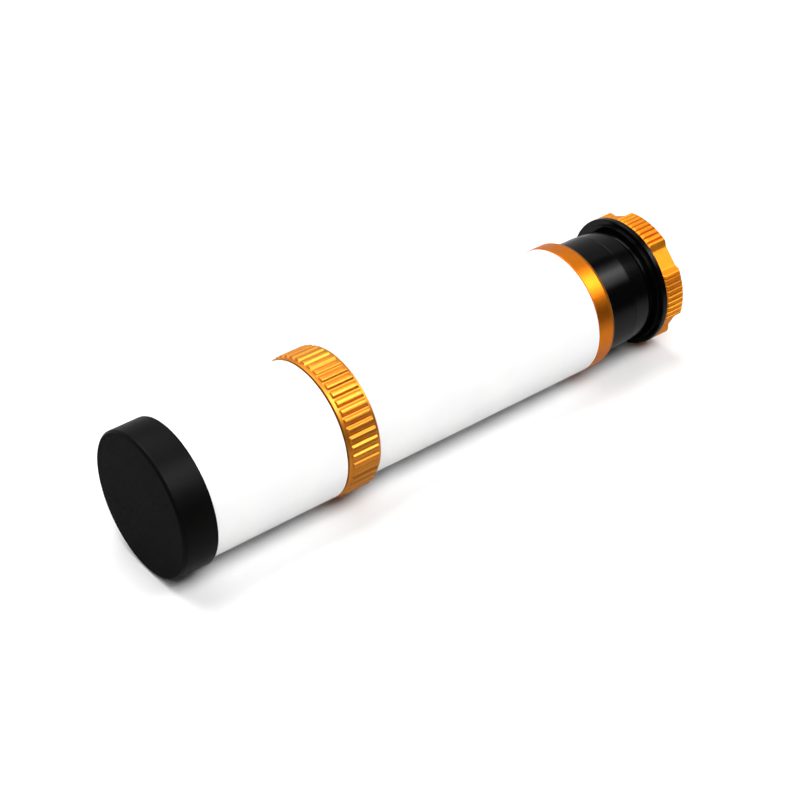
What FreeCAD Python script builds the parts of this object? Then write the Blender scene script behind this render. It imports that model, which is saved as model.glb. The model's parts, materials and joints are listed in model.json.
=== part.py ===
import FreeCAD, Part
import math
import os
import Sketcher

# Small refractor guide scope: a white tube with a screw-out front section for focus,
# a knurled lock ring, and a twist-lock 1.25-inch eyepiece holder.
#
# Every piece is drawn along its own X axis, the optical axis, from station 0 at the
# front face of the dust cap towards the eyepiece. A common placement then lays the
# scope on its side: X along the tube, Z up, the origin under the middle of the scope.

SIZES = {
    # dust cap
    "cap_radius": 33.3,
    "cap_length": 16.3,
    "cap_bevel": 1.05,
    "cap_wall": 2.3,
    "cap_play": 0.06,
    # dew shield
    "shield_start": 2.6,
    "shield_end": 82.66,
    "shield_radius": 31.8,
    "shield_wall": 1.8,
    "shield_edge": 0.3,
    # objective cell and its glass
    "cell_start": 48.0,
    "cell_seat_front": 52.3,
    "cell_seat_rear": 62.0,
    "cell_web": 2.0,
    "cell_end": 82.3,
    "ring_thread_radius": 26.3,
    "lens_radius": 25.5,
    "clear_radius": 25.0,
    "crown_front": 52.8,
    "crown_rear": 56.0,
    "crown_front_curve": 120.0,
    "crown_rear_curve": 90.0,
    "flint_front": 56.5,
    "flint_front_curve": 91.0,
    "flint_rear_curve": 300.0,
    "flint_seat_gap": 0.08,
    "spacer_outer": 25.45,
    "spacer_inner": 24.85,
    "spacer_front_lean": 0.22,
    "spacer_rear_lean": 0.154,
    "cushion_thickness": 0.4,
    "cushion_inner": 25.1,
    "cushion_lean": 0.12,
    "retainer_length": 2.7,
    "retainer_flare": 0.6,
    "retainer_nose_radius": 25.45,
    "retainer_slot_width": 1.8,
    "retainer_slot_depth": 1.2,
    # focus thread
    "focus_thread_radius": 28.7,
    "focus_thread_start": 65.0,
    "focus_thread_pitch": 1.0,
    "focus_thread_depth": 0.35,
    "focus_sleeve_bore": 26.0,
    "focus_spigot_end": 114.0,
    "thread_play": 0.05,
    # focus lock ring
    "lock_start": 83.06,
    "lock_end": 99.81,
    "lock_front_rim": 32.0,
    "lock_rear_rim": 31.75,
    "lock_rib_radius": 32.8,
    "lock_rib_floor": 31.9,
    "lock_front_rim_width": 1.7,
    "lock_rear_rim_width": 1.2,
    "lock_edge": 0.35,
    "lock_groove_floor_width": 0.7,
    "lock_groove_mouth_width": 3.87,
    # main tube
    "tube_start": 99.91,
    "tube_end": 226.02,
    "tube_radius": 30.0,
    "tube_wall": 2.5,
    # baffles
    "front_baffle_start": 132.0,
    "front_baffle_opening": 20.5,
    "rear_baffle_start": 182.0,
    "rear_baffle_opening": 17.0,
    "baffle_rim_length": 6.0,
    "baffle_rim_wall": 1.3,
    "baffle_web": 1.0,
    "baffle_knife": 0.2,
    # rear end ring and barrel
    "end_ring_radius": 30.3,
    "end_ring_end": 234.56,
    "end_ring_edge": 0.2,
    "end_ring_chamfer": 0.9,
    "end_ring_spigot_start": 212.0,
    "end_ring_bore": 26.0,
    "barrel_radius": 27.2,
    "barrel_spigot_start": 218.0,
    "barrel_end": 251.2,
    "barrel_bore": 24.5,
    "barrel_edge": 0.15,
    # extension ring
    "extension_radius": 27.0,
    "extension_start": 251.35,
    "extension_end": 259.9,
    "extension_spigot_start": 243.0,
    "extension_web": 1.2,
    "extension_bore": 23.0,
    "extension_edge": 0.3,
    "neck_radius": 24.6,
    "neck_start": 252.7,
    # eyepiece holder
    "eyepiece_bore": 15.92,
    "holder_start": 245.0,
    "holder_nose_radius": 22.9,
    "holder_step_radius": 28.2,
    "holder_step_start": 263.7,
    "flange_start": 264.86,
    "flange_end": 267.66,
    "flange_radius": 31.0,
    "flange_chamfer": 0.4,
    "holder_spigot_radius": 20.9,
    "holder_spigot_end": 275.0,
    "seat_start": 268.7,
    "seat_small_radius": 16.9,
    "seat_large_radius": 18.5,
    # clamp ring, collet and washer
    "collet_start": 269.0,
    "collet_end": 275.3,
    "collet_bore": 16.1,
    "collet_play": 0.1,
    "collet_slot": 1.5,
    "washer_start": 275.4,
    "washer_end": 275.9,
    "washer_radius": 20.5,
    "clamp_start": 267.8,
    "clamp_end": 278.16,
    "clamp_radius": 30.5,
    "clamp_chamfer": 0.8,
    "clamp_lip": 2.2,
    "clamp_mouth": 16.1,
    "clamp_mouth_flare": 0.5,
    "valley_radius": 28.0,
    "valley_floor_width": 9.7,
    "valley_reach": 31.5,
    "valley_mouth_width": 22.3,
    "knurl_depth": 0.5,
    "knurl_width": 1.0,
    # small clearance between glued or screwed pieces of one body
    "joint_gap": 0.03,
}

LOCK_RIB_COUNT = 48
LOCK_RIB_PHASE = 180 - 4.8
LOBE_COUNT = 5
LOBE_PHASE = 180 - 8.5
KNURLS_PER_LOBE = 8
KNURL_PITCH = 5.3
CUTTER_REACH = 1.0
BULGE_ROOM = 6.0
THREAD_BARE_END = 0.5
THREAD_FLANK = 0.4


class Size:
    """A length that keeps both its value and the spreadsheet formula that gives it."""

    def __init__(self, value, formula):
        self.value = value
        self.formula = formula

    def __add__(self, other):
        other = as_size(other)
        return Size(self.value + other.value, f"({self.formula} + {other.formula})")

    def __sub__(self, other):
        other = as_size(other)
        return Size(self.value - other.value, f"({self.formula} - {other.formula})")

    def __mul__(self, factor):
        return Size(self.value * factor, f"({self.formula} * {factor})")


def as_size(length):
    return length if isinstance(length, Size) else Size(length, str(length))


def leg(hypotenuse, other_leg):
    """The remaining side of a right triangle, used for the centres of lens curves."""
    value = math.sqrt(hypotenuse.value ** 2 - other_leg.value ** 2)
    return Size(value, f"sqrt({hypotenuse.formula}^2 - {other_leg.formula}^2)")


doc = FreeCAD.newDocument("guide_scope")
sheet = doc.addObject("Spreadsheet::Sheet", "Dims")
for row, (alias, number) in enumerate(SIZES.items(), start=1):
    sheet.set(f"A{row}", alias)
    sheet.set(f"B{row}", str(number))
    sheet.setAlias(f"B{row}", alias)
doc.recompute()

dims = {alias: Size(number, f"Dims.{alias}") for alias, number in SIZES.items()}
pieces = []


def dim(alias):
    return dims[alias]


# ---- drawing helpers ------------------------------------------------------------------

def origin_feature(body, role):
    return next(item for item in body.Origin.OriginFeatures if item.Role == role)


def lay_down(piece):
    """Gives a piece the common placement: centred along X, resting on Z = 0."""
    middle = dim("clamp_end") * 0.5
    height = dim("cap_radius")
    piece.Placement = FreeCAD.Placement(
        FreeCAD.Vector(-middle.value, 0, height.value), FreeCAD.Rotation()
    )
    piece.setExpression("Placement.Base.x", f"-{middle.formula}")
    piece.setExpression("Placement.Base.z", height.formula)


def new_body(label):
    body = doc.addObject("PartDesign::Body", label)
    body.Label = label
    lay_down(body)
    pieces.append(body)
    return body


def new_sketch(body, label, plane):
    sketch = body.newObject("Sketcher::SketchObject", label)
    sketch.AttachmentSupport = (origin_feature(body, plane), [""])
    sketch.MapMode = "FlatFace"
    return sketch


def bind(sketch, index, name, length):
    """Names a constraint and ties it to the spreadsheet."""
    sketch.renameConstraint(index, name)
    sketch.setExpression(f"Constraints.{name}", length.formula)


def pin_vertex(sketch, edge, number, station, radius):
    """Places the start of an edge at a station and a radius, both from the sheet."""
    if station.value == 0:
        sketch.addConstraint(Sketcher.Constraint("PointOnObject", edge, 1, -2))
    else:
        index = sketch.addConstraint(Sketcher.Constraint("DistanceX", -1, 1, edge, 1, station.value))
        bind(sketch, index, f"station{number}", station)
    if radius.value == 0:
        sketch.addConstraint(Sketcher.Constraint("PointOnObject", edge, 1, -1))
    else:
        index = sketch.addConstraint(Sketcher.Constraint("DistanceY", -1, 1, edge, 1, radius.value))
        bind(sketch, index, f"radius{number}", radius)


def draw_outline(sketch, outline):
    """Draws a closed outline of (station, radius) points with straight edges."""
    points = [(as_size(station), as_size(radius)) for station, radius in outline]
    vectors = [FreeCAD.Vector(station.value, radius.value, 0) for station, radius in points]
    count = len(points)
    for number in range(count):
        following = vectors[(number + 1) % count]
        sketch.addGeometry(Part.LineSegment(vectors[number], following), False)
    for number in range(count):
        following = (number + 1) % count
        sketch.addConstraint(Sketcher.Constraint("Coincident", number, 2, following, 1))
    for number, (station, radius) in enumerate(points):
        pin_vertex(sketch, number, number, station, radius)


def turned(label, outline):
    """A lathe-turned piece: the outline revolved about the optical axis."""
    body = new_body(label)
    sketch = new_sketch(body, f"{label}_outline", "XZ_Plane")
    draw_outline(sketch, outline)
    turning = body.newObject("PartDesign::Revolution", f"{label}_turning")
    turning.Profile = sketch
    turning.ReferenceAxis = (sketch, ["H_Axis"])
    turning.Angle = 360
    body.Tip = turning
    doc.recompute()
    return body


def draw_symmetric_cutter(sketch, inner, inner_width, outer, outer_width):
    """A four-sided cutter across the sketch's horizontal axis, or a V if inner_width is 0."""
    half_inner = inner_width.value / 2
    half_outer = outer_width.value / 2
    low_inner = FreeCAD.Vector(inner.value, -half_inner, 0)
    high_inner = FreeCAD.Vector(inner.value, half_inner, 0)
    low_outer = FreeCAD.Vector(outer.value, -half_outer, 0)
    high_outer = FreeCAD.Vector(outer.value, half_outer, 0)
    corners = [low_inner, low_outer, high_outer, high_inner]
    if half_inner == 0:
        corners = corners[:3]
    count = len(corners)
    for number in range(count):
        following = corners[(number + 1) % count]
        sketch.addGeometry(Part.LineSegment(corners[number], following), False)
    for number in range(count):
        following = (number + 1) % count
        sketch.addConstraint(Sketcher.Constraint("Coincident", number, 2, following, 1))
    sketch.addConstraint(Sketcher.Constraint("Symmetric", 1, 1, 1, 2, -1))
    index = sketch.addConstraint(Sketcher.Constraint("DistanceX", -1, 1, 1, 1, outer.value))
    bind(sketch, index, "outer_radius", outer)
    index = sketch.addConstraint(Sketcher.Constraint("DistanceY", 1, 1, 1, 2, outer_width.value))
    bind(sketch, index, "outer_width", outer_width)
    index = sketch.addConstraint(Sketcher.Constraint("DistanceX", -1, 1, 0, 1, inner.value))
    bind(sketch, index, "inner_radius", inner)
    if half_inner == 0:
        sketch.addConstraint(Sketcher.Constraint("PointOnObject", 0, 1, -1))
        return
    sketch.addConstraint(Sketcher.Constraint("Symmetric", 3, 1, 3, 2, -1))
    index = sketch.addConstraint(Sketcher.Constraint("DistanceY", 3, 2, 3, 1, inner_width.value))
    bind(sketch, index, "inner_width", inner_width)


def cross_sketch(body, label, start, angle):
    """A sketch across the axis at a station, turned about the axis by an angle."""
    sketch = new_sketch(body, label, "YZ_Plane")
    sketch.AttachmentOffset = FreeCAD.Placement(
        FreeCAD.Vector(0, 0, start.value), FreeCAD.Rotation(FreeCAD.Vector(0, 0, 1), angle)
    )
    sketch.setExpression("AttachmentOffset.Base.z", start.formula)
    return sketch


def pocket_towards_rear(body, sketch, label, length):
    """Cuts a sketch's outline along +X and makes sure that it removed material."""
    doc.recompute()
    volume_before = body.Shape.Volume
    pocket = body.newObject("PartDesign::Pocket", label)
    pocket.Profile = sketch
    pocket.Length = length.value
    pocket.setExpression("Length", length.formula)
    pocket.Reversed = True
    body.Tip = pocket
    doc.recompute()
    if body.Shape.Volume >= volume_before:
        raise RuntimeError(f"{label} removed nothing")
    return pocket


def polar(body, label, originals, sketch, count, angle=360):
    """Repeats features about the optical axis, which is the sketch's normal."""
    pattern = body.newObject("PartDesign::PolarPattern", label)
    pattern.Originals = originals
    pattern.Axis = (sketch, ["N_Axis"])
    pattern.Angle = angle
    pattern.Occurrences = count
    body.Tip = pattern
    return pattern


def thread_outline(start, end, radius, pitch, depth):
    """Crests and roots of a fine thread, drawn as rings one pitch apart."""
    points = [(start, radius)]
    turns = int((end.value - start.value) / pitch.value - THREAD_BARE_END)
    for turn in range(turns):
        root = start + pitch * (turn + 1)
        points.append((root - pitch * THREAD_FLANK, radius))
        points.append((root, radius - depth))
        points.append((root + pitch * THREAD_FLANK, radius))
    points.append((end, radius))
    return points


# ---- front section --------------------------------------------------------------------

def make_dust_cap():
    outer = dim("cap_radius")
    bevel = dim("cap_bevel")
    length = dim("cap_length")
    bore = dim("shield_radius") + dim("cap_play")
    floor = dim("cap_wall")
    turned("dust_cap", [
        (0, 0),
        (0, outer - bevel),
        (bevel, outer),
        (length, outer),
        (length, bore),
        (floor, bore),
        (floor, 0),
    ])


def make_dew_shield():
    start = dim("shield_start")
    end = dim("shield_end")
    outer = dim("shield_radius")
    inner = outer - dim("shield_wall")
    edge = dim("shield_edge")
    turned("dew_shield", [
        (start, inner),
        (start, outer - edge),
        (start + edge, outer),
        (end - edge, outer),
        (end, outer - edge),
        (end, inner),
    ])


def make_objective_cell():
    outer = dim("shield_radius") - dim("shield_wall") - dim("joint_gap")
    start = dim("cell_start")
    seat_front = dim("cell_seat_front")
    seat_rear = dim("cell_seat_rear")
    web_rear = seat_rear + dim("cell_web")
    thread = dim("focus_thread_radius") + dim("thread_play")
    lens_bore = dim("lens_radius") + dim("thread_play")
    turned("objective_cell", [
        (start, dim("ring_thread_radius")),
        (start, outer),
        (dim("cell_end"), outer),
        (dim("cell_end"), thread),
        (web_rear, thread),
        (web_rear, dim("clear_radius")),
        (seat_rear, dim("clear_radius")),
        (seat_rear, lens_bore),
        (seat_front, lens_bore),
        (seat_front, dim("ring_thread_radius")),
    ])


def make_lens_retaining_ring():
    rear = dim("crown_front") - dim("cushion_thickness") - dim("joint_gap") * 2
    front = rear - dim("retainer_length")
    outer = dim("ring_thread_radius") - dim("joint_gap")
    inner = dim("clear_radius")
    flare = dim("retainer_flare")
    nose = dim("retainer_nose_radius")
    rear_stop = dim("cell_seat_front") - dim("joint_gap")
    body = turned("lens_retaining_ring", [
        (front, inner + flare),
        (front, outer),
        (rear_stop, outer),
        (rear_stop, nose),
        (rear, nose),
        (rear, inner),
        (front + flare, inner),
    ])
    sketch = cross_sketch(body, "retainer_slot_sketch", front - CUTTER_REACH, 0)
    width = dim("retainer_slot_width")
    draw_symmetric_cutter(sketch, inner - CUTTER_REACH, width, outer + CUTTER_REACH, width)
    depth = dim("retainer_slot_depth") + CUTTER_REACH
    slot = pocket_towards_rear(body, sketch, "retainer_slot", depth)
    polar(body, "retainer_slots", [slot], sketch, 2)


def make_lens_cushion():
    """The thin nylon ring between the retaining ring and the crown glass."""
    rear = dim("crown_front") - dim("joint_gap")
    front = rear - dim("cushion_thickness")
    outer = dim("lens_radius") + dim("joint_gap")
    inner = dim("cushion_inner")
    turned("lens_cushion", [
        (front, inner),
        (front, outer),
        (rear, outer),
        (rear - dim("cushion_lean"), inner),
    ])


def make_lens_spacer():
    """The foil ring that keeps the two glasses apart, dished like the crown's rear."""
    front = dim("crown_rear") + dim("joint_gap")
    rear = dim("flint_front") - dim("joint_gap")
    outer = dim("spacer_outer")
    inner = dim("spacer_inner")
    turned("lens_spacer", [
        (front, outer),
        (rear, outer),
        (rear + dim("spacer_rear_lean"), inner),
        (front + dim("spacer_front_lean"), inner),
    ])


def sphere(label, centre, radius):
    ball = doc.addObject("Part::Sphere", label)
    ball.Radius = radius.value
    ball.setExpression("Radius", radius.formula)
    ball.Placement = FreeCAD.Placement(FreeCAD.Vector(centre.value, 0, 0), FreeCAD.Rotation())
    ball.setExpression("Placement.Base.x", centre.formula)
    return ball


def glass_rod(label, front, rear, radius):
    rod = doc.addObject("Part::Cylinder", label)
    rod.Radius = radius.value
    rod.setExpression("Radius", radius.formula)
    rod.Height = (rear - front).value
    rod.setExpression("Height", (rear - front).formula)
    along_x = FreeCAD.Rotation(FreeCAD.Vector(0, 1, 0), 90)
    rod.Placement = FreeCAD.Placement(FreeCAD.Vector(front.value, 0, 0), along_x)
    rod.setExpression("Placement.Base.x", front.formula)
    return rod


def make_crown_element():
    """Front glass: both faces bulge, so it is a rod trimmed by two spheres."""
    radius = dim("lens_radius")
    front_curve = dim("crown_front_curve")
    rear_curve = dim("crown_rear_curve")
    front = dim("crown_front")
    rear = dim("crown_rear")
    rod = glass_rod("crown_rod", front - BULGE_ROOM, rear + BULGE_ROOM, radius)
    front_ball = sphere("crown_front_ball", front + leg(front_curve, radius), front_curve)
    rear_ball = sphere("crown_rear_ball", rear - leg(rear_curve, radius), rear_curve)
    glass = doc.addObject("Part::MultiCommon", "crown_element")
    glass.Shapes = [rod, front_ball, rear_ball]
    glass.Label = "crown_element"
    lay_down(glass)
    pieces.append(glass)


def make_flint_element():
    """Rear glass: hollow in front, slightly bulging behind."""
    radius = dim("lens_radius")
    front_curve = dim("flint_front_curve")
    rear_curve = dim("flint_rear_curve")
    front = dim("flint_front")
    rear = dim("cell_seat_rear") - dim("flint_seat_gap")
    rod = glass_rod("flint_rod", front, rear + BULGE_ROOM, radius)
    rear_ball = sphere("flint_rear_ball", rear - leg(rear_curve, radius), rear_curve)
    front_ball = sphere("flint_front_ball", front - leg(front_curve, radius), front_curve)
    blank = doc.addObject("Part::MultiCommon", "flint_blank")
    blank.Shapes = [rod, rear_ball]
    glass = doc.addObject("Part::Cut", "flint_element")
    glass.Base = blank
    glass.Tool = front_ball
    glass.Label = "flint_element"
    lay_down(glass)
    pieces.append(glass)


# ---- focus thread and lock ring -------------------------------------------------------

def make_focus_sleeve():
    """Threaded sleeve in the front of the main tube: the front section screws along it."""
    start = dim("focus_thread_start")
    shoulder = dim("tube_start") - dim("joint_gap")
    spigot = dim("tube_radius") - dim("tube_wall") - dim("joint_gap")
    end = dim("focus_spigot_end")
    bore = dim("focus_sleeve_bore")
    thread = thread_outline(
        start,
        shoulder,
        dim("focus_thread_radius"),
        dim("focus_thread_pitch"),
        dim("focus_thread_depth"),
    )
    turned("focus_sleeve", [(start, bore)] + thread + [
        (shoulder, spigot),
        (end, spigot),
        (end, bore),
    ])


def make_focus_lock_ring():
    start = dim("lock_start")
    end = dim("lock_end")
    bore = dim("focus_thread_radius") + dim("thread_play")
    front_rim = dim("lock_front_rim")
    rear_rim = dim("lock_rear_rim")
    crest = dim("lock_rib_radius")
    ribs_start = start + dim("lock_front_rim_width")
    ribs_end = end - dim("lock_rear_rim_width")
    edge = dim("lock_edge")
    body = turned("focus_lock_ring", [
        (start, bore),
        (start, front_rim - edge),
        (start + edge, front_rim),
        (ribs_start, front_rim),
        (ribs_start + crest - front_rim, crest),
        (ribs_end - crest + rear_rim, crest),
        (ribs_end, rear_rim),
        (end - edge, rear_rim),
        (end, rear_rim - edge),
        (end, bore),
    ])
    half_pitch = 180 / LOCK_RIB_COUNT
    sketch = cross_sketch(body, "lock_groove_sketch", ribs_start, LOCK_RIB_PHASE + half_pitch)
    draw_symmetric_cutter(
        sketch,
        dim("lock_rib_floor"),
        dim("lock_groove_floor_width"),
        crest + CUTTER_REACH,
        dim("lock_groove_mouth_width"),
    )
    groove = pocket_towards_rear(body, sketch, "lock_groove", ribs_end - ribs_start)
    polar(body, "lock_grooves", [groove], sketch, LOCK_RIB_COUNT)


# ---- main tube ------------------------------------------------------------------------

def make_main_tube():
    start = dim("tube_start")
    end = dim("tube_end")
    outer = dim("tube_radius")
    inner = outer - dim("tube_wall")
    turned("main_tube", [
        (start, inner),
        (start, outer),
        (end, outer),
        (end, inner),
    ])


def make_baffle(label, start, opening):
    """A rim held in the tube, with a thin web that ends in a knife edge."""
    outer = dim("tube_radius") - dim("tube_wall") - dim("joint_gap")
    rim = outer - dim("baffle_rim_wall")
    web = dim("baffle_web")
    turned(label, [
        (start, opening),
        (start, outer),
        (start + dim("baffle_rim_length"), outer),
        (start + dim("baffle_rim_length"), rim),
        (start + web, rim),
        (start + web, opening + web),
        (start + dim("baffle_knife"), opening),
    ])


def make_rear_end_ring():
    start = dim("tube_end") + dim("joint_gap")
    end = dim("end_ring_end")
    outer = dim("end_ring_radius")
    spigot = dim("tube_radius") - dim("tube_wall") - dim("joint_gap")
    bore = dim("end_ring_bore")
    chamfer = dim("end_ring_chamfer")
    edge = dim("end_ring_edge")
    turned("rear_end_ring", [
        (dim("end_ring_spigot_start"), bore),
        (dim("end_ring_spigot_start"), spigot),
        (start, spigot),
        (start, outer - edge),
        (start + edge, outer),
        (end - chamfer, outer),
        (end, outer - chamfer),
        (end, bore),
    ])


def make_rear_barrel():
    start = dim("end_ring_end") + dim("joint_gap")
    end = dim("barrel_end")
    outer = dim("barrel_radius")
    spigot = dim("end_ring_bore") - dim("joint_gap")
    bore = dim("barrel_bore")
    edge = dim("barrel_edge")
    turned("rear_barrel", [
        (dim("barrel_spigot_start"), bore),
        (dim("barrel_spigot_start"), spigot),
        (start, spigot),
        (start, outer),
        (end - edge, outer),
        (end, outer - edge),
        (end, bore),
    ])


def make_extension_ring():
    start = dim("extension_start")
    end = dim("extension_end")
    outer = dim("extension_radius")
    spigot = dim("barrel_bore") - dim("joint_gap")
    bore = dim("extension_bore")
    thread = dim("neck_radius") + dim("joint_gap")
    web_rear = start + dim("extension_web")
    edge = dim("extension_edge")
    turned("extension_ring", [
        (dim("extension_spigot_start"), bore),
        (dim("extension_spigot_start"), spigot),
        (start, spigot),
        (start, outer - edge),
        (start + edge, outer),
        (end - edge, outer),
        (end, outer - edge),
        (end, thread),
        (web_rear, thread),
        (web_rear, bore),
    ])


# ---- eyepiece holder ------------------------------------------------------------------

def make_eyepiece_holder():
    neck = dim("neck_radius")
    step_start = dim("holder_step_start")
    flange_start = dim("flange_start")
    flange_end = dim("flange_end")
    flange = dim("flange_radius")
    edge = dim("flange_chamfer")
    bore = dim("eyepiece_bore")
    spigot = dim("holder_spigot_radius")
    spigot_end = dim("holder_spigot_end")
    thread = thread_outline(
        dim("neck_start"),
        step_start,
        neck,
        dim("focus_thread_pitch"),
        dim("focus_thread_depth"),
    )
    turned("eyepiece_holder", [
        (dim("holder_start"), bore),
        (dim("holder_start"), dim("holder_nose_radius")),
        (dim("neck_start"), dim("holder_nose_radius")),
    ] + thread + [
        (step_start, dim("holder_step_radius")),
        (flange_start, dim("holder_step_radius")),
        (flange_start, flange - edge),
        (flange_start + edge, flange),
        (flange_end - edge, flange),
        (flange_end, flange - edge),
        (flange_end, spigot),
        (spigot_end, spigot),
        (spigot_end, dim("seat_large_radius")),
        (dim("seat_start"), dim("seat_small_radius")),
        (dim("seat_start"), bore),
    ])


def make_collet():
    """Split brass ring that the clamp ring pushes into the holder's cone."""
    start = dim("collet_start")
    end = dim("collet_end")
    bore = dim("collet_bore")
    play = dim("collet_play")
    body = turned("collet", [
        (start, bore),
        (start, dim("seat_small_radius") - play),
        (end, dim("seat_large_radius") - play),
        (end, bore),
    ])
    sketch = cross_sketch(body, "collet_slot_sketch", start - CUTTER_REACH, 90)
    width = dim("collet_slot")
    draw_symmetric_cutter(sketch, bore - CUTTER_REACH, width, dim("seat_large_radius"), width)
    pocket_towards_rear(body, sketch, "collet_slot_cut", end - start + CUTTER_REACH * 2)


def make_thrust_washer():
    turned("thrust_washer", [
        (dim("washer_start"), dim("clamp_mouth")),
        (dim("washer_start"), dim("washer_radius")),
        (dim("washer_end"), dim("washer_radius")),
        (dim("washer_end"), dim("clamp_mouth")),
    ])


def make_clamp_ring():
    start = dim("clamp_start")
    end = dim("clamp_end")
    outer = dim("clamp_radius")
    chamfer = dim("clamp_chamfer")
    thread = dim("holder_spigot_radius") + dim("thread_play")
    mouth = dim("clamp_mouth")
    lip_start = end - dim("clamp_lip")
    mouth_flare = dim("clamp_mouth_flare")
    body = turned("clamp_ring", [
        (start, thread),
        (start, outer - chamfer),
        (start + chamfer, outer),
        (end - chamfer, outer),
        (end, outer - chamfer),
        (end, mouth + mouth_flare),
        (end - mouth_flare, mouth),
        (lip_start, mouth),
        (lip_start, thread),
    ])
    length = end - start + CUTTER_REACH * 2
    half_lobe = 180 / LOBE_COUNT
    knurl_start = LOBE_PHASE - KNURL_PITCH * (KNURLS_PER_LOBE - 1) / 2
    knurl_sketch = cross_sketch(body, "knurl_sketch", start - CUTTER_REACH, knurl_start)
    flare = dim("knurl_width") * (1 + 2 * CUTTER_REACH / SIZES["knurl_depth"] / 2)
    draw_symmetric_cutter(
        knurl_sketch,
        outer - dim("knurl_depth"),
        as_size(0),
        outer + CUTTER_REACH,
        flare,
    )
    knurl = pocket_towards_rear(body, knurl_sketch, "knurl", length)
    along_lobe = polar(
        body, "knurls_on_lobe", [], knurl_sketch, KNURLS_PER_LOBE, KNURL_PITCH * (KNURLS_PER_LOBE - 1)
    )
    round_ring = polar(body, "knurls_round_ring", [], knurl_sketch, LOBE_COUNT)
    knurls = body.newObject("PartDesign::MultiTransform", "knurls")
    knurls.Originals = [knurl]
    knurls.Transformations = [along_lobe, round_ring]
    body.Tip = knurls
    doc.recompute()
    valley_sketch = cross_sketch(body, "valley_sketch", start - CUTTER_REACH, LOBE_PHASE + half_lobe)
    draw_symmetric_cutter(
        valley_sketch,
        dim("valley_radius"),
        dim("valley_floor_width"),
        dim("valley_reach"),
        dim("valley_mouth_width"),
    )
    valley = pocket_towards_rear(body, valley_sketch, "valley", length)
    polar(body, "valleys", [valley], valley_sketch, LOBE_COUNT)


# ---- build, check and write -----------------------------------------------------------

def check_document():
    doc.recompute()
    for item in doc.Objects:
        if "Invalid" in item.State or "Error" in item.State:
            raise RuntimeError(f"{item.Label} failed: {item.State}")
    for piece in pieces:
        if piece.Shape.isNull() or not piece.Shape.isValid():
            raise RuntimeError(f"{piece.Label} has no valid shape")


def write_pieces():
    os.makedirs("parts", exist_ok=True)
    for piece in pieces:
        piece.Shape.exportStep(f"parts/{piece.Label}.step")
        print(f"{piece.Label:22s} {len(piece.Shape.Solids)} solid {piece.Shape.Volume:10.1f} mm3")


make_dust_cap()
make_dew_shield()
make_objective_cell()
make_lens_retaining_ring()
make_lens_cushion()
make_crown_element()
make_lens_spacer()
make_flint_element()
make_focus_sleeve()
make_focus_lock_ring()
make_main_tube()
make_baffle("front_baffle", dim("front_baffle_start"), dim("front_baffle_opening"))
make_baffle("rear_baffle", dim("rear_baffle_start"), dim("rear_baffle_opening"))
make_rear_end_ring()
make_rear_barrel()
make_extension_ring()
make_eyepiece_holder()
make_collet()
make_thrust_washer()
make_clamp_ring()
check_document()
write_pieces()
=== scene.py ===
import json
import math

import bmesh
import bpy
from mathutils import Matrix, Vector


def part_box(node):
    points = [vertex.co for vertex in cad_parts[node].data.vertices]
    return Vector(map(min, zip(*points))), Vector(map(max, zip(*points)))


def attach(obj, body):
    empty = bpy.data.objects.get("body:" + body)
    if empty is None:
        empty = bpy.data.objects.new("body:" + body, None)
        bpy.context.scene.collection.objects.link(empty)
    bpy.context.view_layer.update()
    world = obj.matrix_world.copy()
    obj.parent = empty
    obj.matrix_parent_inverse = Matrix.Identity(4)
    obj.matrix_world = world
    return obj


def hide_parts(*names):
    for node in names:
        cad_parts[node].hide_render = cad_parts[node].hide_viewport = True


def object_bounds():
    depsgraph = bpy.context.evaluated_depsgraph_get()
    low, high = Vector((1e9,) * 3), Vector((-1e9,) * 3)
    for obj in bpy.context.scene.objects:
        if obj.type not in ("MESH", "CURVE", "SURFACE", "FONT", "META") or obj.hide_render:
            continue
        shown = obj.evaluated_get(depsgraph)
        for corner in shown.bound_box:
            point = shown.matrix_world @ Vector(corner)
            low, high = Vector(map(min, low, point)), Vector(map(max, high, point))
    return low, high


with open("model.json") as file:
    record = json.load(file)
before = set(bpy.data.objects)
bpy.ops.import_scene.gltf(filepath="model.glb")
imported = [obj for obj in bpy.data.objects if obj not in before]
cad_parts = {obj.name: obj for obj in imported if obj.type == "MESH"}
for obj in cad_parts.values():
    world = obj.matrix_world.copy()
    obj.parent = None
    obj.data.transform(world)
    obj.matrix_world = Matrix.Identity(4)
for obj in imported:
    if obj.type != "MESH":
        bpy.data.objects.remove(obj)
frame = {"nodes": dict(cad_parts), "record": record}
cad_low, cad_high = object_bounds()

# A small white guide scope lying on its side. The optical axis runs along +X towards the
# eyepiece, at the height of the tube's centre. Lengths are in metres.

MM = 0.001
NODES = frame["nodes"]
BODY_OF_NODE = {
    node: body
    for body, nodes in frame["record"]["behaviour"]["bodies"].items()
    for node in nodes
}


def span(node):
    """Front and rear X of a CAD node, and its outer radius."""
    low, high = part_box(node)
    return low.x, high.x, (high.y - low.y) / 2


TUBE_FRONT, TUBE_REAR, TUBE_RADIUS = span("main_tube")
TUBE_WALL = 2.5 * MM
AXIS_Z = (cad_low.z + cad_high.z) / 2

ROUND_SEGMENTS = 288
LENS_SEGMENTS = 128
FINE_EDGE = 0.12 * MM
SOFT_EDGE = 0.3 * MM
ON_AXIS = 1e-7
SHARP_ANGLE = math.radians(33)
JOINT_GAP = 0.03 * MM
SPIGOT_RADIUS = TUBE_RADIUS - TUBE_WALL - JOINT_GAP
LIGHT_PATH_RADIUS = 26.0 * MM
THREAD_PITCH = 1.0 * MM
THREAD_DEPTH = 0.35 * MM


# ---- mesh helpers ---------------------------------------------------------------------

def even_angles(count):
    """Angles in even steps, once round."""
    return [2 * math.pi * step / count for step in range(count)]


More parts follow.
